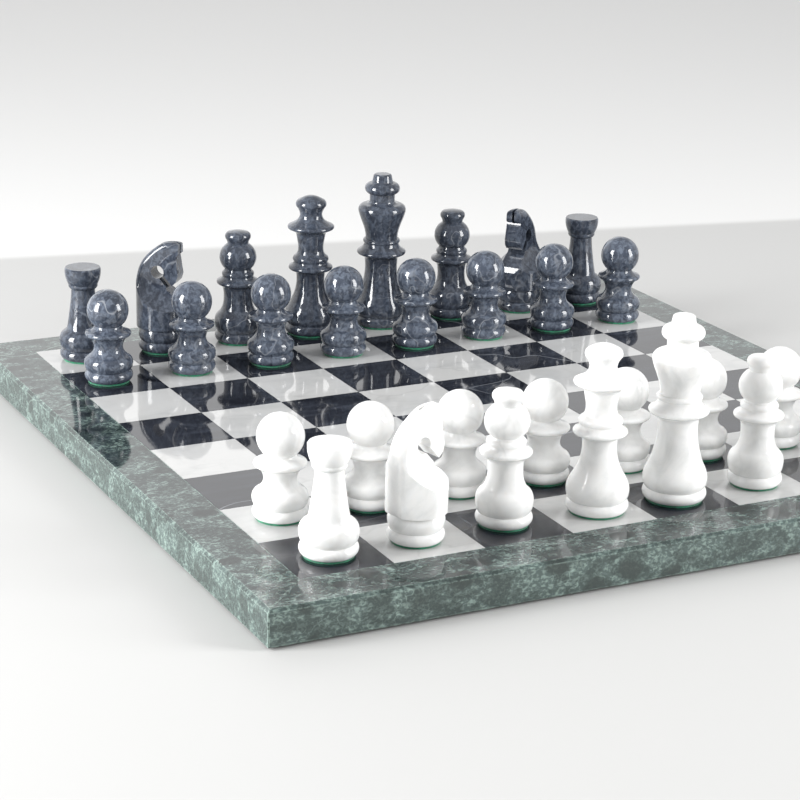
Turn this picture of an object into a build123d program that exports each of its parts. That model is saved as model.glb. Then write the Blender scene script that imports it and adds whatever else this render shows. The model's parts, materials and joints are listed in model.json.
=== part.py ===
"""Polished marble chess set standing in its opening position on an inlaid marble board."""
import os
from math import cos, radians, sin, sqrt

from build123d import *

# ---- driving dimensions (mm) ----
SQUARE = 44.45  # one playing square, 1 3/4 in
BORDER = 25.4  # width of the green strips round the squares, 1 in
BOARD_THICKNESS = 18.0  # felt included
TILE_THICKNESS = 8.0  # playing tiles
JOINT_GAP = 0.2  # polished joint between neighbouring stones
EDGE_BEVEL = 1.5  # bevel along the upper arrises of the border
FOOT_BEVEL = 0.6  # small bevel along the lower arrises
BOARD_FELT = 0.8  # felt sheet under the board
BOARD_FELT_INSET = 2.5  # it stops this far inside the board's edge
KING_HEIGHT = 88.9  # 3 1/2 in
KING_RADIUS = 15.0  # foot of the king
FELT = 1.2  # felt under each chessman
FELT_INSET = 0.4  # the felt stops this far short of the stone's underside

# ---- the other chessmen follow from the king ----
QUEEN_HEIGHT = 0.9 * KING_HEIGHT
BISHOP_HEIGHT = 0.717 * KING_HEIGHT
KNIGHT_HEIGHT = 0.7 * KING_HEIGHT
ROOK_HEIGHT = 0.582 * KING_HEIGHT
PAWN_HEIGHT = 0.562 * KING_HEIGHT
QUEEN_RADIUS = 0.97 * KING_RADIUS
BISHOP_RADIUS = 0.87 * KING_RADIUS
KNIGHT_RADIUS = 0.86 * KING_RADIUS
ROOK_RADIUS = 0.88 * KING_RADIUS
PAWN_RADIUS = 0.85 * KING_RADIUS
BALL_SHARE = 0.86  # the pawn's ball against its foot

# ---- shared by every foot and collar ----
RING_TOP = 6.5  # top of the lowest ring
RING_ROUND = 1.3  # how far the ring bulges past its two rims
LIP = 0.5  # depth of a collar's rounded lip
LIP_HALF = 1.0  # half its height

# ---- worked out for the board ----
SQUARES = 8
PLAY = SQUARES * SQUARE  # side of the playing field
OUTER = PLAY + 2 * BORDER  # side of the whole board
SLAB_TOP = BOARD_THICKNESS - TILE_THICKNESS
FIRST = SQUARE / 2 - PLAY / 2  # middle of the first file and of the first rank

FILES = "abcdefgh"
BACK_RANK = ("rook", "knight", "bishop", "queen", "king", "bishop", "knight", "rook")
BACK_ROW = {"white": 0, "dark": 7}
PAWN_ROW = {"white": 1, "dark": 6}

# which way each knight looks, in degrees from the a-to-h direction
KNIGHT_TURN = {
    "white_knight_b": 13,
    "white_knight_g": 100,
    "dark_knight_b": -41,
    "dark_knight_g": 216,
}

# how far a chessman stands off the middle of its square, across the files and along them
OFF_CENTRE = {
    "white_rook_a": (0.4, -2.2),
    "white_knight_b": (-1.8, -2.0),
    "white_bishop_c": (-0.8, 0.4),
    "white_queen_d": (2.0, -1.8),
    "white_king_e": (-0.9, -2.2),
    "white_bishop_f": (0.9, -0.4),
    "white_pawn_a": (-0.9, 2.6),
    "white_pawn_b": (-1.7, 0.8),
    "white_pawn_c": (-0.5, 0.3),
    "dark_rook_a": (-1.5, 0.6),
    "dark_knight_b": (-1.1, 0.0),
    "dark_bishop_f": (1.7, 0.8),
    "dark_knight_g": (1.2, -2.3),
    "dark_pawn_a": (-2.8, 2.2),
    "dark_pawn_b": (-0.4, 1.2),
    "dark_pawn_c": (0.6, -0.3),
    "dark_pawn_f": (-0.4, 0.2),
}


def export(piece, name):
    """Name a finished piece and write it out."""
    piece.label = name
    export_step(piece, f"parts/{name}.step")


# ---- half outlines of the turned chessmen ----
def outline_scale(radius, height):
    """Point maker for a half outline, in shares of the foot's radius and of the whole height."""
    return lambda across, up: (across * radius, up * height)


def draw_foot(radius, shoulder, leave):
    """Flat underside, rounded ring, groove and the swelling, which leaves the shoulder along leave."""
    rim = radius - RING_ROUND
    widest = 0.5 * RING_TOP + 0.4 * shoulder[1]
    Line((0, FELT), (rim, FELT))
    ThreePointArc((rim, FELT), (radius, (FELT + RING_TOP) / 2), (rim, RING_TOP))
    Spline((rim, RING_TOP), (radius, widest), shoulder, tangents=((0.8, 1), leave))


def draw_collar(below, rim, above):
    """Collar with hollow slopes, out from the stem below, round the lip and back to the stem above."""
    radius, height = rim
    lip_under = (radius - LIP, height - LIP_HALF)
    lip_over = (radius - LIP, height + LIP_HALF)
    Spline(below, lip_under, tangents=((0.1, 1), (1, 0.5)))
    ThreePointArc(lip_under, rim, lip_over)
    Spline(lip_over, above, tangents=((-1, 0.5), (-0.1, 1)))


def draw_king():
    """Collared column, flared crown, round ring and a plain finial."""
    at = outline_scale(KING_RADIUS, KING_HEIGHT)
    shoulder = at(0.86, 0.2)
    waist = at(0.615, 0.39)
    stem_top = at(0.63, 0.44)
    bead_foot = at(0.66, 0.55)
    bead_top = at(0.61, 0.578)
    crown_rim = at(0.895, 0.755)
    crown_top = at(0.73, 0.804)
    neck = at(0.48, 0.826)
    neck_top = at(0.48, 0.87)
    ring_top = at(0.43, 0.942)
    finial_edge = at(0.35, 0.984)
    draw_foot(KING_RADIUS, shoulder, (-0.5, 1))
    Spline(shoulder, at(0.72, 0.27), waist, tangents=((-0.5, 1), (0, 1)))
    Spline(waist, stem_top, tangents=((0, 1), (0.1, 1)))
    draw_collar(stem_top, at(0.935, 0.49), bead_foot)
    ThreePointArc(bead_foot, at(0.705, 0.565), bead_top)
    Spline(bead_top, at(0.67, 0.645), crown_rim, tangents=((0, 1), (0.25, 1)))
    ThreePointArc(crown_rim, at(0.885, 0.782), crown_top)
    Spline(crown_top, neck, tangents=((-1, 0.1), (0, 1)))
    Line(neck, neck_top)
    ThreePointArc(neck_top, at(0.665, 0.907), ring_top)
    Line(ring_top, at(0.39, 0.95))
    Line(at(0.39, 0.95), finial_edge)
    ThreePointArc(finial_edge, at(0.32, 0.995), at(0.25, 0.998))
    Line(at(0.25, 0.998), at(0, 1))


def draw_queen():
    """Stem with two collars and a mushroom knob."""
    at = outline_scale(QUEEN_RADIUS, QUEEN_HEIGHT)
    shoulder = at(0.85, 0.22)
    waist = at(0.545, 0.4)
    stem_top = at(0.56, 0.44)
    bead_foot = at(0.66, 0.528)
    bead_top = at(0.62, 0.57)
    upper_waist = at(0.49, 0.63)
    upper_stem = at(0.56, 0.715)
    neck = at(0.43, 0.865)
    knob_rim = at(0.58, 0.925)
    draw_foot(QUEEN_RADIUS, shoulder, (-0.6, 1))
    Spline(shoulder, at(0.655, 0.29), waist, tangents=((-0.6, 1), (0, 1)))
    Spline(waist, stem_top, tangents=((0, 1), (0.1, 1)))
    draw_collar(stem_top, at(0.86, 0.484), bead_foot)
    ThreePointArc(bead_foot, at(0.7, 0.549), bead_top)
    Spline(bead_top, upper_waist, upper_stem, tangents=((-1, 0.6), (0.15, 1)))
    draw_collar(upper_stem, at(0.905, 0.776), neck)
    Spline(neck, knob_rim, tangents=((0.1, 1), (0.8, 1)))
    ThreePointArc(knob_rim, at(0.585, 0.95), at(0.5, 0.97))
    Spline(at(0.5, 0.97), at(0, 1), tangents=((-1, 0.5), (-1, 0)))


def draw_bishop():
    """Collared stem, ball and a small flat cap."""
    at = outline_scale(BISHOP_RADIUS, BISHOP_HEIGHT)
    shoulder = at(0.84, 0.27)
    waist = at(0.61, 0.42)
    stem_top = at(0.63, 0.47)
    bead_foot = at(0.66, 0.6)
    bead_top = at(0.6, 0.645)
    ball_foot = at(0.57, 0.665)
    ball_top = at(0.45, 0.885)
    cap_rim = at(0.52, 0.93)
    draw_foot(BISHOP_RADIUS, shoulder, (-1, 0.8))
    Spline(shoulder, at(0.7, 0.31), waist, tangents=((-1, 0.8), (0, 1)))
    Spline(waist, stem_top, tangents=((0, 1), (0.1, 1)))
    draw_collar(stem_top, at(0.915, 0.545), bead_foot)
    ThreePointArc(bead_foot, at(0.69, 0.62), bead_top)
    Line(bead_top, ball_foot)
    ThreePointArc(ball_foot, at(0.79, 0.77), ball_top)
    Spline(ball_top, cap_rim, tangents=((0, 1), (0.6, 1)))
    ThreePointArc(cap_rim, at(0.545, 0.962), at(0.46, 0.987))
    Spline(at(0.46, 0.987), at(0, 1), tangents=((-1, 0.3), (-1, 0)))


def draw_rook():
    """Plain tapered tower with a cupped rim and a flat top."""
    at = outline_scale(ROOK_RADIUS, ROOK_HEIGHT)
    shoulder = at(0.76, 0.325)
    step = at(0.7, 0.345)
    neck = at(0.49, 0.77)
    cup_foot = at(0.6, 0.82)
    rim = at(0.74, 0.94)
    rim_top = at(0.74, 0.985)
    top_edge = at(0.7, 1)
    draw_foot(ROOK_RADIUS, shoulder, (-1, 0.4))
    Line(shoulder, step)
    Spline(step, at(0.57, 0.55), neck, tangents=((-0.2, 1), (0, 1)))
    ThreePointArc(neck, at(0.57, 0.785), cup_foot)
    Spline(cup_foot, rim, tangents=((0.5, 1), (0.1, 1)))
    Line(rim, rim_top)
    Line(rim_top, top_edge)
    Line(top_edge, at(0, 1))


def draw_pawn():
    """Short waisted stem, thin collar and a ball."""
    at = outline_scale(PAWN_RADIUS, PAWN_HEIGHT)
    shoulder = at(0.82, 0.29)
    waist = at(0.6, 0.39)
    ball = BALL_SHARE * PAWN_RADIUS
    ball_middle = PAWN_HEIGHT - ball
    neck_radius = 0.57 * PAWN_RADIUS
    neck = (neck_radius, ball_middle - sqrt(ball**2 - neck_radius**2))
    draw_foot(PAWN_RADIUS, shoulder, (-1, 0.5))
    Spline(shoulder, waist, tangents=((-1, 0.8), (0, 1)))
    draw_collar(waist, at(0.955, 0.53), neck)
    ThreePointArc(neck, (ball, ball_middle), (0, PAWN_HEIGHT))


OUTLINES = {
    "king": draw_king,
    "queen": draw_queen,
    "bishop": draw_bishop,
    "rook": draw_rook,
    "pawn": draw_pawn,
}
HEIGHTS = {
    "king": KING_HEIGHT,
    "queen": QUEEN_HEIGHT,
    "bishop": BISHOP_HEIGHT,
    "rook": ROOK_HEIGHT,
    "pawn": PAWN_HEIGHT,
}
FOOT_RADII = {
    "king": KING_RADIUS,
    "queen": QUEEN_RADIUS,
    "bishop": BISHOP_RADIUS,
    "knight": KNIGHT_RADIUS,
    "rook": ROOK_RADIUS,
    "pawn": PAWN_RADIUS,
}


def turned_stone(kind, place):
    """A chessman turned on the lathe: its half outline swept round the upright axis."""
    with BuildPart() as stone:
        with BuildSketch(Plane(origin=place, x_dir=(1, 0, 0), z_dir=(0, -1, 0))):
            with BuildLine():
                OUTLINES[kind]()
                Line((0, HEIGHTS[kind]), (0, FELT))
            make_face()
        revolve(axis=Axis(place, (0, 0, 1)))
    return stone.part


def felt_disc(kind, place):
    """The round of felt glued under a chessman."""
    radius = FOOT_RADII[kind] - RING_ROUND - FELT_INSET
    with BuildPart() as felt:
        with BuildSketch(Plane(origin=place)):
            Circle(radius)
        extrude(amount=FELT)
    return felt.part


def square_place(name, file_index, rank_index):
    """The point on the board's top where the middle of a chessman's foot stands."""
    shift_x, shift_y = OFF_CENTRE.get(name, (0, 0))
    x = FIRST + file_index * SQUARE + shift_x
    y = FIRST + rank_index * SQUARE + shift_y
    return Vector(x, y, BOARD_THICKNESS)


# ---- the knight ----
KNIGHT_BODY = 14.5  # where the carved body leaves its two turned rings
KNIGHT_WIDE = 1.07 * KNIGHT_RADIUS  # radius of the blank that the head is cut from
CHEEK_DIP = 22  # the ground cheeks dip towards the chest by this many degrees
CHEEK_FOOT = 24.5  # height where they run out into the round blank
CHEEK_TOP = 38.0  # height where their hollow sweep ends and they rise almost straight
HEAD_HALF = 5.2  # half the head's thickness there
EAR_HALF = 3.8  # half the head's thickness at the top
CREST_ROUND = 3.0  # rounding along both edges of the crest
EAR_SLOT = 1.5  # saw cut between the ears
EAR_SLOT_DEPTH = 8.0
EYE_RADIUS = 3.7  # hole through the head
THROAT_WIDTH = 3.0  # cut from the hole down to the throat
THROAT_SLOPE = 48  # it falls by this many degrees


def draw_knight_side():
    """Outline of the horse seen from its side, looking along +X."""
    at = outline_scale(KNIGHT_WIDE, KNIGHT_HEIGHT)
    heel = (-0.93 * KNIGHT_WIDE, KNIGHT_BODY)
    toe = (0.93 * KNIGHT_WIDE, KNIGHT_BODY)
    back_low = at(-1, 0.32)
    back_high = at(-0.99, 0.55)
    ear_tip = at(0.66, 1)
    ear_front = at(0.81, 0.985)
    ear_root = at(0.81, 0.9)
    brow = at(0.71, 0.875)
    nose = at(0.81, 0.71)
    lip = at(0.74, 0.655)
    chin = at(0.44, 0.588)
    jaw = at(0.34, 0.6)
    throat = at(0.34, 0.575)
    chest = at(0.97, 0.41)
    chest_low = at(0.99, 0.32)
    Line(toe, heel)
    Spline(heel, back_low, tangents=((-0.6, 1), (0, 1)))
    Line(back_low, back_high)
    Spline(back_high, at(-0.67, 0.838), at(-0.08, 0.96), ear_tip, tangents=((0, 1), (1, 0)))
    Line(ear_tip, ear_front)
    Line(ear_front, ear_root)
    Line(ear_root, brow)
    Line(brow, nose)
    Line(nose, lip)
    Line(lip, chin)
    Line(chin, jaw)
    Line(jaw, throat)
    Spline(throat, chest, tangents=((1, -0.6), (0.3, -1)))
    Spline(chest, chest_low, toe, tangents=((0.3, -1), (-0.6, -1)))


def draw_cheeks():
    """Section of the head across its length: full width at the foot, hollow sweep, thin above."""
    wide = KNIGHT_WIDE + 1
    over = KNIGHT_HEIGHT + 5
    Line((wide, -1), (wide, CHEEK_FOOT))
    Line((-wide, -1), (wide, -1))
    Line((-wide, CHEEK_FOOT), (-wide, -1))
    for side in (1, -1):
        foot = (side * wide, CHEEK_FOOT)
        sweep_end = (side * HEAD_HALF, CHEEK_TOP)
        Spline(foot, sweep_end, tangents=((-side, 0.4), (0, 1)))
        Line(sweep_end, (side * EAR_HALF, over))
    Line((EAR_HALF, over), (-EAR_HALF, over))


def is_crest(edge):
    """Whether an edge of the horse runs along one side of its crest, from the back up to the ears."""
    middle = edge.center()
    high = middle.Z > 0.8 * KNIGHT_HEIGHT
    return high and middle.X < 0 and abs(middle.Y) > 2 and edge.length > 25


def knight_stone():
    """Horse's head sawn and drilled from a turned blank, on two turned rings, looking along +X."""
    side = Plane.XZ
    dip = radians(CHEEK_DIP)
    cheek = Plane(origin=(0, 0, 0), x_dir=(0, 1, 0), z_dir=(cos(dip), 0, -sin(dip)))
    reach = KNIGHT_HEIGHT
    with BuildPart() as stone:
        # the horse's side outline, as thick as the blank
        with BuildSketch(side):
            with BuildLine():
                draw_knight_side()
            make_face()
        extrude(amount=reach, both=True)
        # round blank
        with BuildSketch(Plane.XY):
            Circle(KNIGHT_WIDE + 0.1)
        extrude(amount=KNIGHT_HEIGHT + 1, mode=Mode.INTERSECT)
        # cheeks ground hollow on both sides, thinning the head
        with BuildSketch(cheek):
            with BuildLine():
                draw_cheeks()
            make_face()
        extrude(amount=reach, both=True, mode=Mode.INTERSECT)
        # crest rounded on both sides
        crest = [edge for edge in stone.edges() if is_crest(edge)]
        fillet(crest, CREST_ROUND)
        # hole through the head, and the cut from it down to the throat
        with BuildSketch(side):
            with Locations((-0.04 * KNIGHT_WIDE, 0.732 * KNIGHT_HEIGHT)):
                Circle(EYE_RADIUS)
                with Locations(Location((0, 0, 0), (0, 0, -THROAT_SLOPE))):
                    Rectangle(14, THROAT_WIDTH, align=(Align.MIN, Align.CENTER))
        extrude(amount=reach, both=True, mode=Mode.SUBTRACT)
        # saw cut between the ears
        with BuildSketch(Plane.YZ):
            with Locations((0, KNIGHT_HEIGHT)):
                Rectangle(EAR_SLOT, EAR_SLOT_DEPTH, align=(Align.CENTER, Align.MAX))
        extrude(amount=reach, mode=Mode.SUBTRACT)
        # the two rings of the foot
        with BuildSketch(side):
            with BuildLine():
                rim = KNIGHT_RADIUS - RING_ROUND
                middle = (RING_TOP + KNIGHT_BODY) / 2
                Line((0, KNIGHT_BODY), (0, FELT))
                Line((0, FELT), (rim, FELT))
                ThreePointArc((rim, FELT), (KNIGHT_RADIUS, (FELT + RING_TOP) / 2), (rim, RING_TOP))
                ThreePointArc((rim, RING_TOP), (KNIGHT_RADIUS, middle), (rim, KNIGHT_BODY))
                Line((rim, KNIGHT_BODY), (0, KNIGHT_BODY))
            make_face()
        revolve(axis=Axis.Z)
    return stone.part


# ---- the board ----
def square_centres(parity):
    """Middles of the squares of one colour; 0 is the colour of the first corner."""
    return [
        (FIRST + file * SQUARE, FIRST + rank * SQUARE)
        for file in range(SQUARES)
        for rank in range(SQUARES)
        if (file + rank) % 2 == parity
    ]


def tiles(parity):
    """The thirty-two polished tiles of one colour."""
    with BuildPart() as field:
        with BuildSketch(Plane.XY.offset(SLAB_TOP)):
            with Locations(square_centres(parity)):
                Rectangle(SQUARE - JOINT_GAP, SQUARE - JOINT_GAP)
        extrude(amount=TILE_THICKNESS)
    return field.part


def backing_slab():
    """Plain slab that carries the tiles, let in between the border strips."""
    with BuildPart() as slab:
        with BuildSketch(Plane.XY.offset(BOARD_FELT)):
            Rectangle(PLAY, PLAY)
        extrude(amount=SLAB_TOP - BOARD_FELT)
    return slab.part


def border_strip(turn):
    """One mitred strip of the border with bevelled outer arrises; turn 0 is the front strip."""
    inner = PLAY / 2
    outer = OUTER / 2
    bottom = BOARD_FELT
    along = Plane.XY.rotated((0, 0, turn))
    with BuildPart() as strip:
        # section of the strip, drawn looking along it
        with BuildSketch(Plane(origin=(0, 0, 0), x_dir=-along.y_dir, z_dir=-along.x_dir)):
            with BuildLine():
                Polyline(
                    (inner, bottom),
                    (outer - FOOT_BEVEL, bottom),
                    (outer, bottom + FOOT_BEVEL),
                    (outer, BOARD_THICKNESS - EDGE_BEVEL),
                    (outer - EDGE_BEVEL, BOARD_THICKNESS),
                    (inner, BOARD_THICKNESS),
                    close=True,
                )
            make_face()
        extrude(amount=outer, both=True)
        # mitred ends
        with BuildSketch(along):
            with BuildLine():
                Polyline(
                    (JOINT_GAP / 2 - outer - 1, -outer - 1),
                    (outer + 1 - JOINT_GAP / 2, -outer - 1),
                    (-JOINT_GAP / 2, 0),
                    close=True,
                )
            make_face()
        extrude(amount=BOARD_THICKNESS, mode=Mode.INTERSECT)
    return strip.part


def board_felt():
    """Sheet of felt glued under the slab and the strips."""
    side = OUTER - 2 * BOARD_FELT_INSET
    with BuildPart() as sheet:
        with BuildSketch(Plane.XY):
            RectangleRounded(side, side, BOARD_FELT_INSET)
        extrude(amount=BOARD_FELT)
    return sheet.part


os.makedirs("parts", exist_ok=True)
export(tiles(0), "dark_squares")
export(tiles(1), "light_squares")
export(backing_slab(), "backing_slab")
for position, turn in (("front", 0), ("right", 90), ("back", 180), ("left", 270)):
    export(border_strip(turn), f"border_{position}")
export(board_felt(), "board_felt")

for side in ("white", "dark"):
    for file_index, letter in enumerate(FILES):
        kind = BACK_RANK[file_index]
        name = f"{side}_{kind}_{letter}"
        place = square_place(name, file_index, BACK_ROW[side])
        if kind == "knight":
            stone = knight_stone().moved(Location(place, (0, 0, KNIGHT_TURN[name])))
        else:
            stone = turned_stone(kind, place)
        export(stone, name)
        export(felt_disc(kind, place), f"{name}_felt")

        # a pawn and its felt share one node, as two solids
        name = f"{side}_pawn_{letter}"
        place = square_place(name, file_index, PAWN_ROW[side])
        pawn = Compound(children=[turned_stone("pawn", place), felt_disc("pawn", place)])
        export(pawn, name)
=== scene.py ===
"""Looks of the marble chess set with board: laid out as an add-on, run as a script."""
import json
import math

import bmesh
import bpy
from bpy.props import FloatProperty, FloatVectorProperty, IntProperty, PointerProperty
from mathutils import Matrix, Vector


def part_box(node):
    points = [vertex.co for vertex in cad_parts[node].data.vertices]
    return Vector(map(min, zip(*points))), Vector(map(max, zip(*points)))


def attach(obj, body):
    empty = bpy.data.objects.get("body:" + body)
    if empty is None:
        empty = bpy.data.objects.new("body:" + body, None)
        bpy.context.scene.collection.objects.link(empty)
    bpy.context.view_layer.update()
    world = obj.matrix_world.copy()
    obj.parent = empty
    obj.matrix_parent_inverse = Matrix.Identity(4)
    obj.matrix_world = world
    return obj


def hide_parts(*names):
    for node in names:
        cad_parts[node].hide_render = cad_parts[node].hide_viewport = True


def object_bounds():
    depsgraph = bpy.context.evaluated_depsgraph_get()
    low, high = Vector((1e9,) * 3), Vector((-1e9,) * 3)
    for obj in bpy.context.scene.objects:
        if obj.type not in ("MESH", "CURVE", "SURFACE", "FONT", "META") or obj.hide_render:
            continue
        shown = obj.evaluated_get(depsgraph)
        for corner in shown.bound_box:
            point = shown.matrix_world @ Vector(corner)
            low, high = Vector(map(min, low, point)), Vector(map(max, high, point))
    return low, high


bl_info = {
    "name": "Marble Chess Set",
    "version": (1, 0, 0),
    "blender": (4, 5, 0),
    "location": "3D View > Sidebar > Chess Set",
    "description": "Polished marble chessmen on an inlaid marble board",
    "category": "Object",
}

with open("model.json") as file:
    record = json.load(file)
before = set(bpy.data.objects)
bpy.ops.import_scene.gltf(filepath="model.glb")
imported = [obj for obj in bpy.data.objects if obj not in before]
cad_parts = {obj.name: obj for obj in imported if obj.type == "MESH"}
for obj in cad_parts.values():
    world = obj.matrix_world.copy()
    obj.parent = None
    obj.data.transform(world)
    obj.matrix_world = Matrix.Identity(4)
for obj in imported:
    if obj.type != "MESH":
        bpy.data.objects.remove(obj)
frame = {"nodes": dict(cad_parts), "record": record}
CAD_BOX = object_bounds()
BODY_OF = {name: body for body, names in frame["record"]["behaviour"]["bodies"].items() for name in names}

SIDES = ("white", "dark")
FILES = "abcdefgh"
MERGE = 2e-6  # vertices of neighbouring CAD faces closer than this are one
TOUCH = 5e-5  # how near two heights count as the same
STONE_IOR = 1.58  # how strongly polished marble bends light
GOLDEN_TURN = 2.399963  # radians; spreads the felts' frayed points evenly
LEVEL = 0.99  # a face whose normal rises by more than this is level
MIDDLE = (0.5, 0.5, 0.5)  # mean colour of a noise, taken off so that it pushes both ways
BACK_RANK_DARKNESS = 0.4  # share of the deepest tone in the dark back rank
SENSOR = 36  # width of the camera's sensor, in mm
LEFT_BOX = (-1.35, 0.02, 0.52)  # middles of the two standing softboxes
RIGHT_BOX = (0.95, -0.9, 0.52)
FLOOR_GAP = 0.0002  # the floor lies this far under the board
FLOOR_MOTTLE = (0.62, 0.62, 0.62)
FAR_FLOOR = (0.8, 0.8, 0.795)
FAR_FLOOR_FACING = (0.185, 0.983, 0)  # square to the line where the far floor begins
HIGH_GLOW = (0.6, 0.6, 0.6)  # the room's light from above


def paint(red, green, blue):
    """Linear colour from display values of 0 to 255."""
    def linear(value):
        share = value / 255
        return share / 12.92 if share <= 0.04045 else ((share + 0.055) / 1.055) ** 2.4
    return (linear(red), linear(green), linear(blue))


# ---- settings a user would change ----
def colour(name, description, *display):
    return FloatVectorProperty(
        name=name,
        description=description,
        subtype="COLOR",
        size=3,
        min=0,
        max=1,
        default=paint(*display),
    )


class ChessColours(bpy.types.PropertyGroup):
    """Colours of the stones and the felt."""

    light_tile: colour("Light tile", "Ground colour of the light squares", 199, 199, 198)
    light_tile_shade: colour("Light tile clouds", "Greyer clouds in the light squares", 178, 179, 179)
    light_tile_vein: colour("Light tile veins", "Fine veins in the light squares", 150, 150, 150)
    dark_tile: colour("Dark tile", "Ground colour of the dark squares", 30, 32, 39)
    dark_tile_streak: colour("Dark tile streaks", "Fine parallel streaks in the dark squares", 66, 70, 80)
    green_deep: colour("Green deep", "Darkest lumps of the green border", 13, 20, 22)
    green_ground: colour("Green ground", "Ground of the green border", 27, 38, 39)
    green_mist: colour("Green mist", "Paler clouds in the green border", 62, 76, 75)
    green_network: colour("Green network", "Mint network between the lumps", 158, 180, 171)
    slab: colour("Slab", "Stone slab under the tiles", 96, 98, 98)
    white_stone: colour("White stone", "Ground colour of the white chessmen", 240, 240, 239)
    white_cloud: colour("White stone clouds", "Grey clouds in the white chessmen", 216, 217, 216)
    dark_stone: colour("Dark stone", "Ground colour of the dark chessmen", 66, 73, 86)
    dark_stone_cloud: colour("Dark stone clouds", "Paler mottling of the dark chessmen", 108, 117, 131)
    dark_stone_deep: colour("Dark stone deep", "Darkest patches of the dark chessmen", 30, 33, 41)
    dark_stone_vein: colour("Dark stone veins", "Thin veins of the dark chessmen", 168, 172, 178)
    piece_felt: colour("Piece felt", "Felt under the chessmen", 4, 132, 94)
    board_felt: colour("Board felt", "Felt under the board", 26, 70, 52)
    floor: colour("Floor", "Plain floor of the stage", 199, 199, 198)


class ChessFinish(bpy.types.PropertyGroup):
    """Polish, edges and felt."""

    polish: FloatProperty(
        name="Polish",
        description="Roughness of the polished stones",
        default=0.03,
        min=0,
        max=1,
        subtype="FACTOR",
    )
    smooth_angle: FloatProperty(
        name="Smooth angle",
        description="Edges that turn by less are shaded smooth",
        default=math.radians(32),
        min=0,
        max=math.pi,
        subtype="ANGLE",
    )
    felt_segments: IntProperty(
        name="Felt segments",
        description="Steps round the edge of each felt disc",
        default=72,
        min=16,
        max=256,
    )
    felt_round: FloatProperty(
        name="Felt rounding",
        description="Rounding of the felt's cut edge",
        default=0.00025,
        min=0,
        max=0.001,
        subtype="DISTANCE",
        unit="LENGTH",
    )
    felt_fray: FloatProperty(
        name="Felt fray",
        description="How unevenly the felt discs are cut",
        default=0.00006,
        min=0,
        max=0.001,
        subtype="DISTANCE",
        unit="LENGTH",
    )
    sheet_corner: FloatProperty(
        name="Sheet corner",
        description="Rounding of the felt sheet's corners",
        default=0.0025,
        min=0.0005,
        max=0.02,
        subtype="DISTANCE",
        unit="LENGTH",
    )


class ChessStage(bpy.types.PropertyGroup):
    """Camera, floor and light."""

    camera_place: FloatVectorProperty(
        name="Camera place",
        description="Where the camera stands",
        default=(-0.5497, -1.0022, 0.3926),
        subtype="TRANSLATION",
        unit="LENGTH",
    )
    camera_heading: FloatProperty(
        name="Camera heading",
        description="Clockwise from the direction across the ranks",
        default=0.4686,
        subtype="ANGLE",
    )
    camera_dip: FloatProperty(
        name="Camera dip",
        description="How far the camera looks down",
        default=0.3150,
        subtype="ANGLE",
    )
    camera_roll: FloatProperty(
        name="Camera roll",
        description="Turn about the line of sight",
        default=0.0220,
        subtype="ANGLE",
    )
    lens: FloatProperty(
        name="Lens",
        description="Focal length on a 36 mm sensor",
        default=104.3,
        min=10,
        max=300,
        unit="CAMERA",
    )
    floor_reach: FloatProperty(
        name="Floor reach",
        description="Radius of the floor",
        default=9.0,
        min=1,
        max=50,
        subtype="DISTANCE",
        unit="LENGTH",
    )
    strip_width: FloatProperty(
        name="Strip width",
        description="Width of the two standing softboxes",
        default=0.52,
        min=0.05,
        max=2,
        subtype="DISTANCE",
        unit="LENGTH",
    )
    strip_height: FloatProperty(
        name="Strip height",
        description="Height of the two standing softboxes",
        default=1.0,
        min=0.05,
        max=3,
        subtype="DISTANCE",
        unit="LENGTH",
    )
    left_glow: FloatProperty(
        name="Left glow",
        description="Brightness of the left softbox's face",
        default=23,
        min=0,
        max=200,
    )
    right_glow: FloatProperty(
        name="Right glow",
        description="Brightness of the right softbox's face",
        default=13,
        min=0,
        max=200,
    )
    far_floor: FloatVectorProperty(
        name="Far floor",
        description="Where the paler far part of the floor begins",
        default=(0.154, 0.3935, 0),
        subtype="TRANSLATION",
        unit="LENGTH",
    )


# ---- node trees ----
def add(tree, kind, sockets=None, **settings):
    """Add a node: settings are its own options, sockets are values or the outputs that feed it."""
    made = tree.nodes.new(kind)
    for option, value in settings.items():
        setattr(made, option, value)
    for socket, value in (sockets or {}).items():
        if isinstance(value, bpy.types.NodeSocket):
            tree.links.new(value, made.inputs[socket])
        else:
            made.inputs[socket].default_value = value
    return made


def mixed(tree, share, first, second, blend="MIX"):
    """Colour output of a mix: share, then the two colours."""
    made = tree.nodes.new("ShaderNodeMix")
    made.data_type = "RGBA"
    made.blend_type = blend
    named = {socket.identifier: socket for socket in made.inputs}
    for key, value in (("Factor_Float", share), ("A_Color", first), ("B_Color", second)):
        if isinstance(value, bpy.types.NodeSocket):
            tree.links.new(value, named[key])
        elif key == "Factor_Float":
            named[key].default_value = value
        else:
            named[key].default_value = (*value, 1)
    return next(socket for socket in made.outputs if socket.identifier == "Result_Color")


def math_node(tree, operation, *values, clamp=False):
    sockets = dict(enumerate(values))
    return add(tree, "ShaderNodeMath", sockets, operation=operation, use_clamp=clamp).outputs[0]


def vector_math(tree, operation, first, second=None, scale=None):
    """Output of a Vector Math node: a vector, or a number for a dot product."""
    sockets = {0: first}
    if second is not None:
        sockets[1] = second
    if scale is not None:
        sockets["Scale"] = scale
    made = add(tree, "ShaderNodeVectorMath", sockets, operation=operation)
    return made.outputs["Value" if operation == "DOT_PRODUCT" else "Vector"]


def displaced(tree, vector, drift, reach, scale):
    """A vector pushed about by a noise's colour; reach counts in widths of the pattern."""
    centred = vector_math(tree, "SUBTRACT", drift.outputs["Color"], MIDDLE)
    pushed = vector_math(tree, "SCALE", centred, scale=math_node(tree, "DIVIDE", reach, scale))
    return vector_math(tree, "ADD", vector, pushed)


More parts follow.
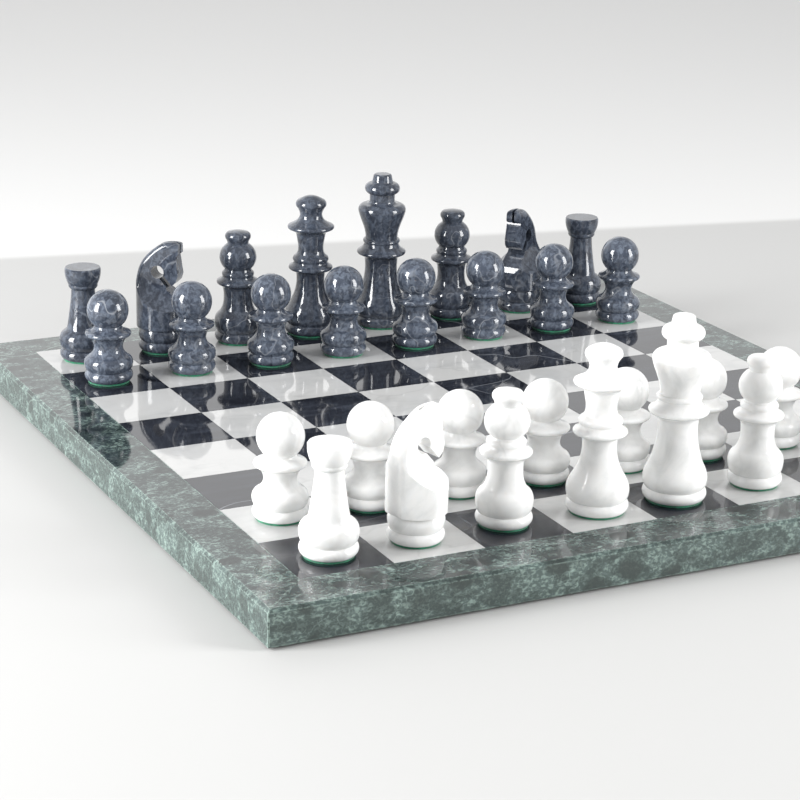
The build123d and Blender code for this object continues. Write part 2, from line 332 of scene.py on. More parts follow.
def stepped(tree, value, low, high, start=0.0, end=1.0):
    """Smooth step of a value from low to high."""
    sockets = {"Value": value, "From Min": low, "From Max": high, "To Min": start, "To Max": end}
    kind = "SMOOTHSTEP"
    return add(tree, "ShaderNodeMapRange", sockets, interpolation_type=kind).outputs["Result"]


def shared_group(name, inputs, outputs, build):
    """Fetch a node group, or make it with named sockets and let build fill it."""
    group = bpy.data.node_groups.get(name)
    if group:
        return group
    group = bpy.data.node_groups.new(name, "ShaderNodeTree")
    for label, default in inputs:
        kind = "NodeSocketVector" if default is None else "NodeSocketFloat"
        socket = group.interface.new_socket(name=label, in_out="INPUT", socket_type=kind)
        if default is not None:
            socket.default_value = default
    for label, kind in outputs:
        group.interface.new_socket(name=label, in_out="OUTPUT", socket_type=kind)
    build(group, group.nodes.new("NodeGroupInput").outputs, group.nodes.new("NodeGroupOutput").inputs)
    return group


def place_group(tree, group, sockets):
    made = tree.nodes.new("ShaderNodeGroup")
    made.node_tree = group
    for socket, value in sockets.items():
        if isinstance(value, bpy.types.NodeSocket):
            tree.links.new(value, made.inputs[socket])
        else:
            made.inputs[socket].default_value = value
    return made.outputs


def clouds_group():
    """Soft clouds: a mask from stepped noise, drifting by its own distortion."""
    def build(group, given, result):
        sockets = {
            "Vector": given["Vector"],
            "W": given["Seed"],
            "Scale": given["Scale"],
            "Detail": given["Detail"],
            "Roughness": 0.58,
            "Distortion": given["Drift"],
        }
        noise = add(group, "ShaderNodeTexNoise", sockets, noise_dimensions="4D")
        mask = stepped(group, noise.outputs[0], given["Low"], given["High"])
        group.links.new(mask, result["Mask"])
    inputs = (
        ("Vector", None),
        ("Seed", 0.0),
        ("Scale", 60.0),
        ("Detail", 4.0),
        ("Drift", 0.4),
        ("Low", 0.4),
        ("High", 0.65),
    )
    return shared_group("Stone clouds", inputs, (("Mask", "NodeSocketFloat"),), build)


def veins_group():
    """Thin wandering veins that fade in and out."""
    def build(group, given, result):
        half = math_node(group, "MULTIPLY", given["Scale"], 0.5)
        drift = add(
            group,
            "ShaderNodeTexNoise",
            {"Vector": given["Vector"], "W": given["Seed"], "Scale": half, "Detail": 3.0},
            noise_dimensions="4D",
        )
        sockets = {
            "Vector": displaced(group, given["Vector"], drift, given["Wander"], given["Scale"]),
            "W": given["Seed"],
            "Scale": given["Scale"],
            "Detail": 2.0,
            "Roughness": 0.45,
        }
        ridge = add(group, "ShaderNodeTexNoise", sockets, noise_dimensions="4D")
        offset = math_node(group, "SUBTRACT", ridge.outputs[0], 0.5)
        distance = math_node(group, "ABSOLUTE", offset)
        line = stepped(group, distance, 0.0, given["Width"], 1.0, 0.0)
        fade = stepped(group, drift.outputs[0], given["Broken"], 0.62)
        group.links.new(math_node(group, "MULTIPLY", line, fade), result["Mask"])
    inputs = (
        ("Vector", None),
        ("Seed", 0.0),
        ("Scale", 20.0),
        ("Wander", 0.8),
        ("Width", 0.012),
        ("Broken", 0.4),
    )
    return shared_group("Stone veins", inputs, (("Mask", "NodeSocketFloat"),), build)


def lumps_group():
    """Broken stone: a ragged network between lumps, and a tone for each lump."""
    def build(group, given, result):
        drift = add(
            group,
            "ShaderNodeTexNoise",
            {"Vector": given["Vector"], "Scale": given["Scale"], "Detail": 4.0, "Roughness": 0.6},
        )
        moved = displaced(group, given["Vector"], drift, given["Ragged"], given["Scale"])
        place = {"Vector": moved, "Scale": given["Scale"], "Randomness": 1.0}
        border = add(group, "ShaderNodeTexVoronoi", place, feature="DISTANCE_TO_EDGE")
        cell = add(group, "ShaderNodeTexVoronoi", place, feature="F1")
        network = stepped(group, border.outputs["Distance"], 0.0, given["Width"], 1.0, 0.0)
        split = add(group, "ShaderNodeSeparateColor", {"Color": cell.outputs["Color"]})
        group.links.new(network, result["Network"])
        group.links.new(split.outputs[0], result["Tone"])
        group.links.new(cell.outputs["Distance"], result["Distance"])
    inputs = (("Vector", None), ("Scale", 60.0), ("Ragged", 0.6), ("Width", 0.08))
    outputs = (("Network", "NodeSocketFloat"), ("Tone", "NodeSocketFloat"), ("Distance", "NodeSocketFloat"))
    return shared_group("Stone lumps", inputs, outputs, build)


def polish_group():
    """Hand polish: roughness that varies in soft patches, and a faint waviness of the surface."""
    def build(group, given, result):
        patches = add(
            group,
            "ShaderNodeTexNoise",
            {"Vector": given["Vector"], "Scale": given["Scale"], "Detail": 5.0, "Roughness": 0.62},
        )
        grain = add(
            group,
            "ShaderNodeTexNoise",
            {"Vector": given["Vector"], "Scale": 2400.0, "Detail": 2.0},
        )
        swing = stepped(group, patches.outputs[0], 0.35, 0.7)
        lift = math_node(group, "MULTIPLY", swing, given["Spread"])
        pits = stepped(group, grain.outputs[0], 0.66, 0.74)
        pitted = math_node(group, "MULTIPLY", pits, given["Pits"])
        rough = math_node(group, "ADD", math_node(group, "ADD", given["Base"], lift), pitted, clamp=True)
        height = math_node(group, "MULTIPLY_ADD", pits, -0.3, patches.outputs[0])
        sockets = {"Height": height, "Strength": given["Waviness"], "Distance": 0.001}
        bump = add(group, "ShaderNodeBump", sockets)
        group.links.new(rough, result["Roughness"])
        group.links.new(bump.outputs[0], result["Normal"])
    inputs = (
        ("Vector", None),
        ("Scale", 90.0),
        ("Base", 0.04),
        ("Spread", 0.03),
        ("Pits", 0.1),
        ("Waviness", 0.02),
    )
    outputs = (("Roughness", "NodeSocketFloat"), ("Normal", "NodeSocketVector"))
    return shared_group("Hand polish", inputs, outputs, build)


def arris_group():
    """Worn arris: bright where a rounded normal leaves the true one, broken up by fine noise."""
    def build(group, given, result):
        rounded = add(group, "ShaderNodeBevel", {"Radius": given["Reach"]}, samples=4)
        true = add(group, "ShaderNodeNewGeometry")
        along = vector_math(group, "DOT_PRODUCT", rounded.outputs[0], true.outputs["True Normal"])
        away = math_node(group, "SUBTRACT", 1.0, along)
        edge = stepped(group, away, 0.01, 0.16)
        chips = add(group, "ShaderNodeTexNoise", {"Vector": given["Vector"], "Scale": 700.0, "Detail": 3.0})
        broken = stepped(group, chips.outputs[0], 0.36, 0.6)
        group.links.new(math_node(group, "MULTIPLY", edge, broken), result["Mask"])
    inputs = (("Vector", None), ("Reach", 0.0006))
    return shared_group("Worn arris", inputs, (("Mask", "NodeSocketFloat"),), build)


def tile_group():
    """A tone of its own for each playing square, from the square's place on the board."""
    def build(group, given, result):
        per_metre = math_node(group, "DIVIDE", 1.0, given["Pitch"])
        squares = vector_math(group, "SCALE", given["Vector"], scale=per_metre)
        whole = vector_math(group, "FLOOR", squares)
        flat = vector_math(group, "MULTIPLY", whole, (1, 1, 0))
        tone = add(group, "ShaderNodeTexWhiteNoise", {"Vector": flat}, noise_dimensions="3D")
        group.links.new(tone.outputs["Value"], result["Tone"])
    inputs = (("Vector", None), ("Pitch", 0.04445))
    return shared_group("Tile tone", inputs, (("Tone", "NodeSocketFloat"),), build)


def wool_group():
    """Pressed wool: fine fibres, broad matting, and the roughness that goes with them."""
    def build(group, given, result):
        sockets = {"Vector": given["Vector"], "Scale": 2600.0, "Roughness": 0.7, "Distortion": 2.0}
        fibre = add(group, "ShaderNodeTexNoise", sockets).outputs[0]
        matting = add(group, "ShaderNodeTexNoise", {"Vector": given["Vector"], "Scale": 260.0}).outputs[0]
        group.links.new(stepped(group, fibre, 0.5, 0.75), result["Fibre"])
        group.links.new(stepped(group, matting, 0.35, 0.7), result["Matting"])
        group.links.new(stepped(group, fibre, 0.3, 0.7, 0.98, 0.86), result["Roughness"])
    outputs = [(label, "NodeSocketFloat") for label in ("Fibre", "Matting", "Roughness")]
    return shared_group("Pressed wool", (("Vector", None),), outputs, build)


def new_material(name, turn=(0, 0, 0), stretch=(1, 1, 1)):
    """An empty material with its shader, and Object coordinates turned and stretched."""
    material = bpy.data.materials.new(name)
    material.use_nodes = True
    tree = material.node_tree
    tree.nodes.clear()
    shader = tree.nodes.new("ShaderNodeBsdfPrincipled")
    out = tree.nodes.new("ShaderNodeOutputMaterial")
    tree.links.new(shader.outputs[0], out.inputs["Surface"])
    raw = tree.nodes.new("ShaderNodeTexCoord").outputs["Object"]
    mapped = add(tree, "ShaderNodeMapping", {"Vector": raw, "Rotation": turn, "Scale": stretch})
    return material, tree, shader, raw, mapped.outputs[0]


def tinted(tree, mask, strength, first, second):
    """First colour turned towards the second where the mask is high, by no more than strength."""
    return mixed(tree, math_node(tree, "MULTIPLY", mask, strength), first, second)


def masked(tree, group, output, vector, settings):
    """One output of a shared group; settings are its inputs by their names in small letters."""
    sockets = {"Vector": vector, **{key.capitalize(): value for key, value in settings.items()}}
    return place_group(tree, group, sockets)[output]


def clouds(tree, vector, **settings):
    return masked(tree, clouds_group(), "Mask", vector, settings)


def veins(tree, vector, **settings):
    return masked(tree, veins_group(), "Mask", vector, settings)


def arris(tree, vector, reach):
    return masked(tree, arris_group(), "Mask", vector, {"reach": reach})


def polish(tree, shader, vector, dulled=None, **settings):
    """Feed the hand polish into a shader; dulled is a further roughness laid over it."""
    sockets = {"Vector": vector, **{key.capitalize(): value for key, value in settings.items()}}
    outputs = place_group(tree, polish_group(), sockets)
    rough = outputs["Roughness"]
    if dulled:
        rough = math_node(tree, "ADD", rough, dulled, clamp=True)
    tree.links.new(rough, shader.inputs["Roughness"])
    tree.links.new(outputs["Normal"], shader.inputs["Normal"])


def light_tile_material(colours, finish):
    material, tree, shader, raw, place = new_material(
        "Light marble tile", turn=(0.3, 0.2, 0.5), stretch=(1, 1.8, 1)
    )
    tone = place_group(tree, tile_group(), {"Vector": raw})["Tone"]
    seed = math_node(tree, "MULTIPLY", tone, 9.0)
    cloud = clouds(tree, place, seed=seed, scale=34.0, detail=6.0, drift=0.8, low=0.42, high=0.72)
    vein = veins(tree, place, seed=seed, scale=26.0, wander=0.9, width=0.02, broken=0.42)
    clouded = tinted(tree, cloud, 0.7, colours.light_tile, colours.light_tile_shade)
    veined = tinted(tree, vein, 0.3, clouded, colours.light_tile_vein)
    toned = tinted(tree, tone, 0.35, veined, colours.light_tile_shade)
    edged = tinted(tree, arris(tree, raw, 0.0004), 0.4, toned, colours.light_tile_vein)
    tree.links.new(edged, shader.inputs["Base Color"])
    polish(tree, shader, raw, base=finish.polish, spread=0.02)
    shader.inputs["IOR"].default_value = STONE_IOR
    return material


def dark_tile_material(colours, finish):
    material, tree, shader, raw, place = new_material(
        "Dark marble tile", turn=(0, 0, 0.06), stretch=(1, 14, 14)
    )
    tone = place_group(tree, tile_group(), {"Vector": raw})["Tone"]
    seed = math_node(tree, "MULTIPLY", tone, 7.0)
    streak = clouds(tree, place, seed=seed, scale=26.0, detail=5.0, drift=0.25, low=0.46, high=0.78)
    fine = clouds(tree, place, seed=seed, scale=120.0, detail=3.0, drift=0.1, low=0.55, high=0.75)
    vein = veins(tree, raw, seed=seed, scale=14.0, wander=0.5, width=0.006, broken=0.5)
    streaked = tinted(tree, streak, 0.65, colours.dark_tile, colours.dark_tile_streak)
    lined = tinted(tree, fine, 0.3, streaked, colours.dark_tile_streak)
    veined = tinted(tree, vein, 0.45, lined, colours.dark_stone_vein)
    edged = tinted(tree, arris(tree, raw, 0.0004), 0.5, veined, colours.dark_tile_streak)
    tree.links.new(edged, shader.inputs["Base Color"])
    polish(tree, shader, raw, base=finish.polish, spread=0.02)
    shader.inputs["IOR"].default_value = STONE_IOR
    return material


def green_material(colours, finish):
    """Dark lumps in a misty ground, salted with pale specks and crossed by mint threads."""
    material, tree, shader, raw, place = new_material(
        "Green brecciated marble", turn=(0.2, 0.1, 0.1), stretch=(0.7, 1, 1)
    )
    mist = clouds(tree, place, scale=95.0, detail=10.0, drift=1.0, low=0.42, high=0.64)
    ground = mixed(tree, mist, colours.green_ground, colours.green_mist)
    lumps = place_group(tree, lumps_group(), {"Vector": place, "Scale": 84.0, "Ragged": 0.6})
    picked = stepped(tree, lumps["Tone"], 0.55, 0.62)
    inside = stepped(tree, lumps["Distance"], 0.32, 0.48, 1.0, 0.0)
    lump = math_node(tree, "MULTIPLY", picked, inside)
    lumped = tinted(tree, lump, 0.85, ground, colours.green_deep)
    between = math_node(tree, "MULTIPLY_ADD", lump, -0.8, 1.0)
    misty = math_node(tree, "MULTIPLY", between, stepped(tree, mist, 0.0, 0.9, 0.3, 1.0))
    salt = clouds(tree, place, scale=640.0, detail=8.0, drift=0.4, low=0.48, high=0.62)
    salted = tinted(tree, math_node(tree, "MULTIPLY", salt, misty), 0.5, lumped, colours.green_network)
    web = veins(tree, place, scale=115.0, wander=1.6, width=0.014, broken=0.42)
    hairs = veins(tree, place, scale=330.0, wander=1.2, width=0.05, broken=0.34)
    threads = math_node(tree, "MULTIPLY_ADD", hairs, 0.3, math_node(tree, "MULTIPLY", web, 0.5), clamp=True)
    webbed = mixed(tree, math_node(tree, "MULTIPLY", threads, misty), salted, colours.green_network)
    vein = veins(tree, place, scale=13.0, wander=0.6, width=0.004, broken=0.48)
    veined = tinted(tree, vein, 0.6, webbed, colours.green_network)
    # the sawn sides are only honed, so they are duller; they are also painted paler, a painted light for
    # the light that falls on the side faces
    facing = tree.nodes.new("ShaderNodeNewGeometry").outputs["True Normal"]
    upright = add(tree, "ShaderNodeSeparateXYZ", {"Vector": facing}).outputs["Z"]
    honed_and_lit_sides = stepped(tree, math_node(tree, "ABSOLUTE", upright), 0.5, 0.95, 1.0, 0.0)
    # painted light: the side faces are tinted a little paler than the top
    sides_painted_paler = tinted(tree, honed_and_lit_sides, 0.1, veined, colours.green_network)
    wear = arris(tree, raw, 0.0011)
    edged = tinted(tree, wear, 0.9, sides_painted_paler, colours.green_network)
    tree.links.new(edged, shader.inputs["Base Color"])
    dulled = math_node(tree, "MULTIPLY_ADD", honed_and_lit_sides, 0.16, math_node(tree, "MULTIPLY", wear, 0.3))
    polish(tree, shader, raw, dulled, base=finish.polish, spread=0.05, pits=0.15)
    shader.inputs["IOR"].default_value = STONE_IOR
    return material


def white_stone_material(colours, finish):
    material, tree, shader, raw, place = new_material(
        "White marble", turn=(0.4, 0.3, 0.2), stretch=(1, 1, 0.7)
    )
    cloud = clouds(tree, place, scale=62.0, detail=6.0, drift=1.1, low=0.42, high=0.7)
    vein = veins(tree, place, scale=30.0, wander=1.0, width=0.02, broken=0.46)
    clouded = tinted(tree, cloud, 0.8, colours.white_stone, colours.white_cloud)
    veined = tinted(tree, vein, 0.25, clouded, colours.light_tile_shade)
    edged = tinted(tree, arris(tree, raw, 0.0005), 0.5, veined, colours.white_stone)
    tree.links.new(edged, shader.inputs["Base Color"])
    polish(tree, shader, raw, base=finish.polish + 0.04, spread=0.05)
    shader.inputs["Subsurface Weight"].default_value = 0.3
    shader.inputs["Subsurface Radius"].default_value = (1.0, 0.92, 0.84)
    shader.inputs["Subsurface Scale"].default_value = 0.003
    return material


def dark_stone_material(colours, finish, name, darkness):
    """Blue-grey marble. Darkness is the share of the deepest tone in its ground."""
    material, tree, shader, raw, place = new_material(name, turn=(0.5, 0.2, 0.3), stretch=(1, 1, 0.8))
    light = 1 - darkness
    patch = clouds(tree, place, scale=80.0, detail=7.0, drift=1.4, low=0.38, high=0.64)
    mottle = clouds(tree, place, scale=380.0, detail=6.0, drift=0.8, low=0.4, high=0.66)
    vein = veins(tree, place, scale=60.0, wander=1.0, width=0.014, broken=0.42)
    ground = mixed(tree, darkness, colours.dark_stone, colours.dark_stone_deep)
    patched = tinted(tree, patch, 0.5, ground, colours.dark_stone_deep)
    mottled = tinted(tree, mottle, 0.75 * light, patched, colours.dark_stone_cloud)
    veined = tinted(tree, vein, 0.5 * light, mottled, colours.dark_stone_vein)
    edged = tinted(tree, arris(tree, raw, 0.0005), 0.4, veined, colours.dark_stone_cloud)
    tree.links.new(edged, shader.inputs["Base Color"])
    polish(tree, shader, raw, base=finish.polish + 0.02, spread=0.03)
    shader.inputs["IOR"].default_value = STONE_IOR
    return material


def slab_material(colours):
    material, tree, shader, raw, place = new_material("Sawn slab", stretch=(1, 1, 2))
    cloud = clouds(tree, place, scale=60.0, detail=6.0, drift=0.6)
    tree.links.new(mixed(tree, cloud, colours.slab, colours.light_tile_vein), shader.inputs["Base Color"])
    polish(tree, shader, raw, base=0.5, spread=0.2, waviness=0.2)
    return material


def felt_material(name, ground):
    """Pressed wool in one colour, with a soft sheen."""
    material, tree, shader, raw, place = new_material(name, turn=(0.4, 0.9, 0.2), stretch=(1, 2.2, 1))
    wool = place_group(tree, wool_group(), {"Vector": place})
    deep = tuple(0.55 * part for part in ground)
    pale = tuple(min(1, 1.35 * part + 0.01) for part in ground)
    matted = mixed(tree, wool["Matting"], deep, tuple(ground))
    haired = mixed(tree, wool["Fibre"], matted, pale)
    bump = add(tree, "ShaderNodeBump", {"Height": wool["Fibre"], "Strength": 0.6, "Distance": 0.0003})
    tree.links.new(haired, shader.inputs["Base Color"])
    tree.links.new(wool["Roughness"], shader.inputs["Roughness"])
    tree.links.new(bump.outputs[0], shader.inputs["Normal"])
    shader.inputs["Sheen Weight"].default_value = 0.35
    shader.inputs["Sheen Roughness"].default_value = 0.6
    return material


def fetch_material(name, build, *values):
    """The material of that name, made on its first use."""
    return bpy.data.materials.get(name) or build(*values)


# ---- shapes ----
def link(mesh, name, material, slot, body, *nodes):
    """Make the finished piece: its material, the body it rides, and the nodes it stands for hidden. The
    slot is not used.
    """
    piece = bpy.data.objects.new(name, mesh)
    bpy.context.scene.collection.objects.link(piece)
    mesh.materials.clear()
    mesh.materials.append(material)
    if nodes:
        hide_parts(*nodes)
    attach(piece, body)
    return piece


def stone_mesh(node, name, smooth_angle):
    """A joined copy of a chessman's stone, smooth but for its true arrises, without its felt."""
    work = bmesh.new()
    work.from_mesh(frame["nodes"][node].data)
    underside = felt_top()
    below = [v for v in work.verts if v.co.z < underside - TOUCH]
    bmesh.ops.delete(work, geom=below, context="VERTS")
    lids = [f for f in work.faces if f.normal.z > LEVEL and f.calc_center_median().z < underside + TOUCH]
    bmesh.ops.delete(work, geom=lids, context="FACES")
    bmesh.ops.remove_doubles(work, verts=work.verts, dist=MERGE)
    for face in work.faces:
        face.smooth = True
    for edge in work.edges:
        edge.smooth = edge.calc_face_angle(0) < smooth_angle
    mesh = bpy.data.meshes.new(name)
    work.to_mesh(mesh)
    work.free()
    custom = mesh.attributes.get("custom_normal")
    if custom:
        mesh.attributes.remove(custom)
    return mesh


def felt_top():
    """Height where the chessmen's stone starts."""
    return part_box("white_king_e_felt")[1].z


def felt_size(node):
    """Middle, radius and foot of the felt under a chessman."""
    own = f"{node}_felt"
    if own in frame["nodes"]:
        low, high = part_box(own)
        return (low + high) / 2, (high.x - low.x) / 2, low.z
    low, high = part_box(node)
    middle = (low + high) / 2
    points = [v.co for v in frame["nodes"][node].data.vertices if v.co.z < low.z + TOUCH]
    return middle, max((p.xy - middle.xy).length for p in points), low.z


def cut_felt(work, height, rounding):
    """Thicken the flat felt in work to a height and round its cut edges."""
    lifted = bmesh.ops.extrude_face_region(work, geom=work.faces[:])
    upper = [item for item in lifted["geom"] if isinstance(item, bmesh.types.BMVert)]
    bmesh.ops.translate(work, verts=upper, vec=(0, 0, height))
    bmesh.ops.recalc_face_normals(work, faces=work.faces)
    level = [edge for edge in work.edges if abs(edge.verts[0].co.z - edge.verts[1].co.z) < TOUCH]
    bmesh.ops.bevel(
        work,
        geom=[edge for edge in level if edge.calc_face_angle(0) > 1],
        offset=rounding,
        offset_type="OFFSET",
        affect="EDGES",
        segments=2,
        profile=0.5,
        material=-1,
    )


def finished_mesh(work, name):
    for face in work.faces:
        face.smooth = abs(face.normal.z) < LEVEL
    mesh = bpy.data.meshes.new(name)
    work.to_mesh(mesh)
    work.free()
    return mesh


def felt_mesh(node, name, finish):
    """A disc of cut wool with a rounded, slightly uneven edge."""
    middle, radius, foot = felt_size(node)
    work = bmesh.new()
    bmesh.ops.create_circle(work, cap_ends=True, radius=radius, segments=finish.felt_segments)
    cut_felt(work, felt_top() - foot, finish.felt_round)
    for count, vert in enumerate(work.verts):
        vert.co.xy *= 1 - finish.felt_fray * (1 + math.sin(count * GOLDEN_TURN)) / radius
    bmesh.ops.translate(work, verts=work.verts, vec=(middle.x, middle.y, foot))
    return finished_mesh(work, name)


def felt_sheet_mesh(node, name, finish):
    """The sheet under the board, with rounded corners and a cut edge."""
    low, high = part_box(node)
    size = high - low
    work = bmesh.new()
    bmesh.ops.create_grid(work, x_segments=1, y_segments=1, size=0.5)
    bmesh.ops.scale(work, verts=work.verts, vec=(size.x, size.y, 1))
    bmesh.ops.bevel(
        work,
        geom=work.verts[:],
        offset=finish.sheet_corner,
        offset_type="OFFSET",
        affect="VERTICES",
        segments=6,
        profile=0.5,
        material=-1,
    )
    cut_felt(work, size.z, finish.felt_round)
    middle = (low + high) / 2
    bmesh.ops.translate(work, verts=work.verts, vec=(middle.x, middle.y, low.z))
    return finished_mesh(work, name)


# ---- operators ----
class ChessOperator(bpy.types.Operator):
    """Shared by the operators that make chessmen."""

    bl_options = {"REGISTER", "UNDO"}

    def stone(self, context, side, pawn=False):
        colours, finish = context.scene.chess_colours, context.scene.chess_finish
        if side == "white":
            return fetch_material("White marble", white_stone_material, colours, finish)
        name = "Dark marble pawns" if pawn else "Dark marble back rank"
        darkness = 0.0 if pawn else BACK_RANK_DARKNESS
        return fetch_material(name, dark_stone_material, colours, finish, name, darkness)

    def make_men(self, context, kind, letters):
        finish = context.scene.chess_finish
        for side in SIDES:
            for letter in letters:
                node = f"{side}_{kind}_{letter}"
                mesh = stone_mesh(node, f"{node}_stone", finish.smooth_angle)
                material = self.stone(context, side, kind == "pawn")
                link(mesh, f"{node}_stone", material, f"{side}_stone", BODY_OF[node], node)


class CHESS_OT_kings(ChessOperator):
    """Make the two kings"""

    bl_idname = "chess.kings"
    bl_label = "Kings"

    def execute(self, context):
        self.make_men(context, "king", "e")
        return {"FINISHED"}


class CHESS_OT_queens(ChessOperator):
    """Make the two queens"""

    bl_idname = "chess.queens"
    bl_label = "Queens"

    def execute(self, context):
        self.make_men(context, "queen", "d")
        return {"FINISHED"}


class CHESS_OT_bishops(ChessOperator):
    """Make the four bishops"""

    bl_idname = "chess.bishops"
    bl_label = "Bishops"

    def execute(self, context):
        self.make_men(context, "bishop", "cf")
        return {"FINISHED"}


class CHESS_OT_knights(ChessOperator):
    """Make the four knights"""

    bl_idname = "chess.knights"
    bl_label = "Knights"

    def execute(self, context):
        self.make_men(context, "knight", "bg")
        return {"FINISHED"}


class CHESS_OT_rooks(ChessOperator):
    """Make the four rooks"""

    bl_idname = "chess.rooks"
    bl_label = "Rooks"

    def execute(self, context):
        self.make_men(context, "rook", "ah")
        return {"FINISHED"}


class CHESS_OT_pawns(ChessOperator):
    """Make the sixteen pawns"""

    bl_idname = "chess.pawns"
    bl_label = "Pawns"

    def execute(self, context):
        self.make_men(context, "pawn", FILES)
        return {"FINISHED"}


class CHESS_OT_felts(bpy.types.Operator):
    """Glue a disc of green felt under every chessman"""

    bl_idname = "chess.felts"
    bl_label = "Felt discs"

    def execute(self, context):
        finish = context.scene.chess_finish
        ground = tuple(context.scene.chess_colours.piece_felt)
        material = felt_material("Green felt", ground)
        men = [name for name in frame["nodes"] if name.startswith(SIDES) and name.count("_") == 2]
        for node in sorted(men):
            mesh = felt_mesh(node, f"{node}_pad", finish)
            own = f"{node}_felt"
            stands_for = own if own in frame["nodes"] else node
            link(mesh, f"{node}_pad", material, "piece_felt", BODY_OF[node], stands_for)
        return {"FINISHED"}


class CHESS_OT_board(bpy.types.Operator):
    """Finish the playing squares, the green border, the slab and the felt sheet"""

    bl_idname = "chess.board"
    bl_label = "Board"

    def execute(self, context):
        colours, finish = context.scene.chess_colours, context.scene.chess_finish
        finishes = {
            "light_squares": light_tile_material(colours, finish),
            "dark_squares": dark_tile_material(colours, finish),
            "backing_slab": slab_material(colours),
        }
        green = green_material(colours, finish)
        for side in ("front", "right", "back", "left"):
            finishes[f"border_{side}"] = green
        for node, material in finishes.items():
            for slot in frame["nodes"][node].material_slots:
                slot.material = material
        sheet = felt_sheet_mesh("board_felt", "board_felt_sheet", finish)
        wool = felt_material("Board felt", tuple(colours.board_felt))
        link(sheet, "board_felt_sheet", wool, "board_felt", BODY_OF["board_felt"], "board_felt")
        return {"FINISHED"}


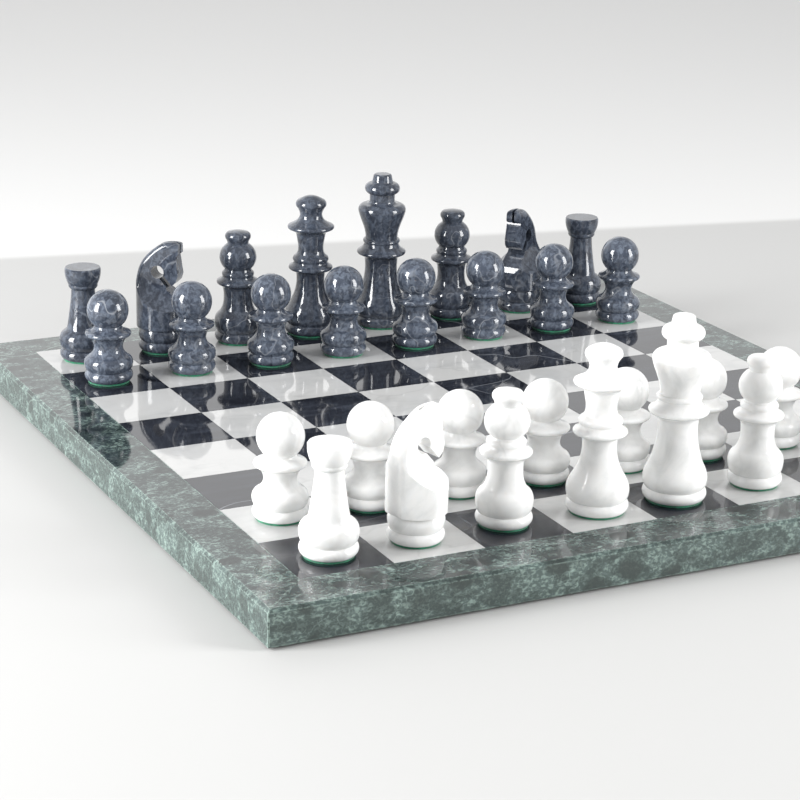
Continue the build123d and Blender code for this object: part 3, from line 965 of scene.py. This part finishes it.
class CHESS_OT_stage(bpy.types.Operator):
    """Set up the floor, the soft light and the camera"""

    bl_idname = "chess.stage"
    bl_label = "Stage"

    def execute(self, context):
        stage = context.scene.chess_stage
        self.floor(context, stage)
        self.sky(context)
        self.strip(context, stage, "softbox_left", Vector(LEFT_BOX), stage.left_glow)
        self.strip(context, stage, "softbox_right", Vector(RIGHT_BOX), stage.right_glow)
        self.camera(context, stage)
        context.scene.view_settings.view_transform = "Standard"
        return {"FINISHED"}

    def floor(self, context, stage):
        work = bmesh.new()
        bmesh.ops.create_circle(work, cap_ends=True, radius=stage.floor_reach, segments=64)
        bmesh.ops.translate(work, verts=work.verts, vec=(0, 0, CAD_BOX[0].z - FLOOR_GAP))
        mesh = bpy.data.meshes.new("stage_floor")
        work.to_mesh(mesh)
        work.free()
        material, tree, shader, raw, place = new_material("Pale floor")
        ground = tuple(context.scene.chess_colours.floor)
        mottle = place_group(tree, clouds_group(), {"Vector": raw, "Scale": 2.0, "Detail": 2.0})["Mask"]
        near = mixed(tree, math_node(tree, "MULTIPLY", mottle, 0.05), ground, FLOOR_MOTTLE)
        away = vector_math(tree, "SUBTRACT", raw, stage.far_floor)
        beyond = vector_math(tree, "DOT_PRODUCT", away, FAR_FLOOR_FACING)
        far = stepped(tree, beyond, -0.004, 0.012)
        tree.links.new(mixed(tree, far, near, FAR_FLOOR), shader.inputs["Base Color"])
        shader.inputs["Roughness"].default_value = 0.55
        floor = bpy.data.objects.new("stage_floor", mesh)
        context.scene.collection.objects.link(floor)
        mesh.materials.append(material)

    def sky(self, context):
        """Pale room: bright low down behind the board, dimmer above and on the camera's side."""
        world = bpy.data.worlds.new("Pale room")
        context.scene.world = world
        world.use_nodes = True
        tree = world.node_tree
        tree.nodes.clear()
        direction = tree.nodes.new("ShaderNodeTexCoord").outputs["Generated"]
        parts = add(tree, "ShaderNodeSeparateXYZ", {"Vector": direction})
        stage = context.scene.chess_stage
        heading = Vector((math.sin(stage.camera_heading), math.cos(stage.camera_heading), 0))
        ahead = vector_math(tree, "DOT_PRODUCT", direction, heading)
        across = Vector((math.cos(stage.camera_heading), -math.sin(stage.camera_heading), 0))
        sideways = vector_math(tree, "DOT_PRODUCT", direction, across)
        behind = stepped(tree, ahead, -0.35, 0.4, 0.28, 1.0)
        fading = stepped(tree, sideways, -0.35, 0.5, 1.5, 0.9)
        low = math_node(tree, "MULTIPLY", behind, fading)
        high = stepped(tree, parts.outputs["Z"], 0.42, 0.75)
        glow = mixed(tree, high, low, HIGH_GLOW)
        background = add(tree, "ShaderNodeBackground", {"Color": glow, "Strength": 1.0})
        out = tree.nodes.new("ShaderNodeOutputWorld")
        tree.links.new(background.outputs[0], out.inputs["Surface"])

    def strip(self, context, stage, name, place, glow):
        light = bpy.data.lights.new(name, "AREA")
        light.shape = "RECTANGLE"
        light.size = stage.strip_width
        light.size_y = stage.strip_height
        light.energy = glow * math.pi * light.size * light.size_y
        softbox = bpy.data.objects.new(name, light)
        context.scene.collection.objects.link(softbox)
        aim = Vector((0, 0, place.z)) - place
        turn = aim.to_track_quat("-Z", "Y").to_matrix().to_4x4()
        softbox.matrix_world = Matrix.Translation(place) @ turn

    def camera(self, context, stage):
        heading, dip, roll = stage.camera_heading, stage.camera_dip, stage.camera_roll
        level = Vector((math.sin(heading), math.cos(heading), 0))
        ahead = level * math.cos(dip) - Vector((0, 0, math.sin(dip)))
        right = ahead.cross(Vector((0, 0, 1))).normalized()
        up = right.cross(ahead)
        rolled_right = right * math.cos(roll) + up * math.sin(roll)
        rolled_up = up * math.cos(roll) - right * math.sin(roll)
        turn = Matrix((rolled_right, rolled_up, -ahead)).transposed().to_4x4()
        lens = bpy.data.cameras.new("camera")
        lens.lens = stage.lens
        lens.sensor_width = SENSOR
        lens.clip_start = 0.01
        camera = bpy.data.objects.new("camera", lens)
        context.scene.collection.objects.link(camera)
        camera.matrix_world = Matrix.Translation(Vector(stage.camera_place)) @ turn
        context.scene.camera = camera


class CHESS_PT_panel(bpy.types.Panel):
    """Lists the steps that make the chess set."""

    bl_idname = "CHESS_PT_panel"
    bl_label = "Chess Set"
    bl_space_type = "VIEW_3D"
    bl_region_type = "UI"
    bl_category = "Chess Set"

    def draw(self, context):
        for step in STEPS:
            self.layout.operator(step.bl_idname)


STEPS = (
    CHESS_OT_stage,
    CHESS_OT_board,
    CHESS_OT_kings,
    CHESS_OT_queens,
    CHESS_OT_bishops,
    CHESS_OT_knights,
    CHESS_OT_rooks,
    CHESS_OT_pawns,
    CHESS_OT_felts,
)
CLASSES = (ChessColours, ChessFinish, ChessStage, *STEPS, CHESS_PT_panel)


def register():
    for item in CLASSES:
        bpy.utils.register_class(item)
    bpy.types.Scene.chess_colours = PointerProperty(type=ChessColours)
    bpy.types.Scene.chess_finish = PointerProperty(type=ChessFinish)
    bpy.types.Scene.chess_stage = PointerProperty(type=ChessStage)


def unregister():
    del bpy.types.Scene.chess_stage
    del bpy.types.Scene.chess_finish
    del bpy.types.Scene.chess_colours
    for item in reversed(CLASSES):
        bpy.utils.unregister_class(item)


def main():
    register()
    bpy.ops.chess.stage()
    bpy.ops.chess.board()
    bpy.ops.chess.kings()
    bpy.ops.chess.queens()
    bpy.ops.chess.bishops()
    bpy.ops.chess.knights()
    bpy.ops.chess.rooks()
    bpy.ops.chess.pawns()
    bpy.ops.chess.felts()


if __name__ == "__main__":
    main()
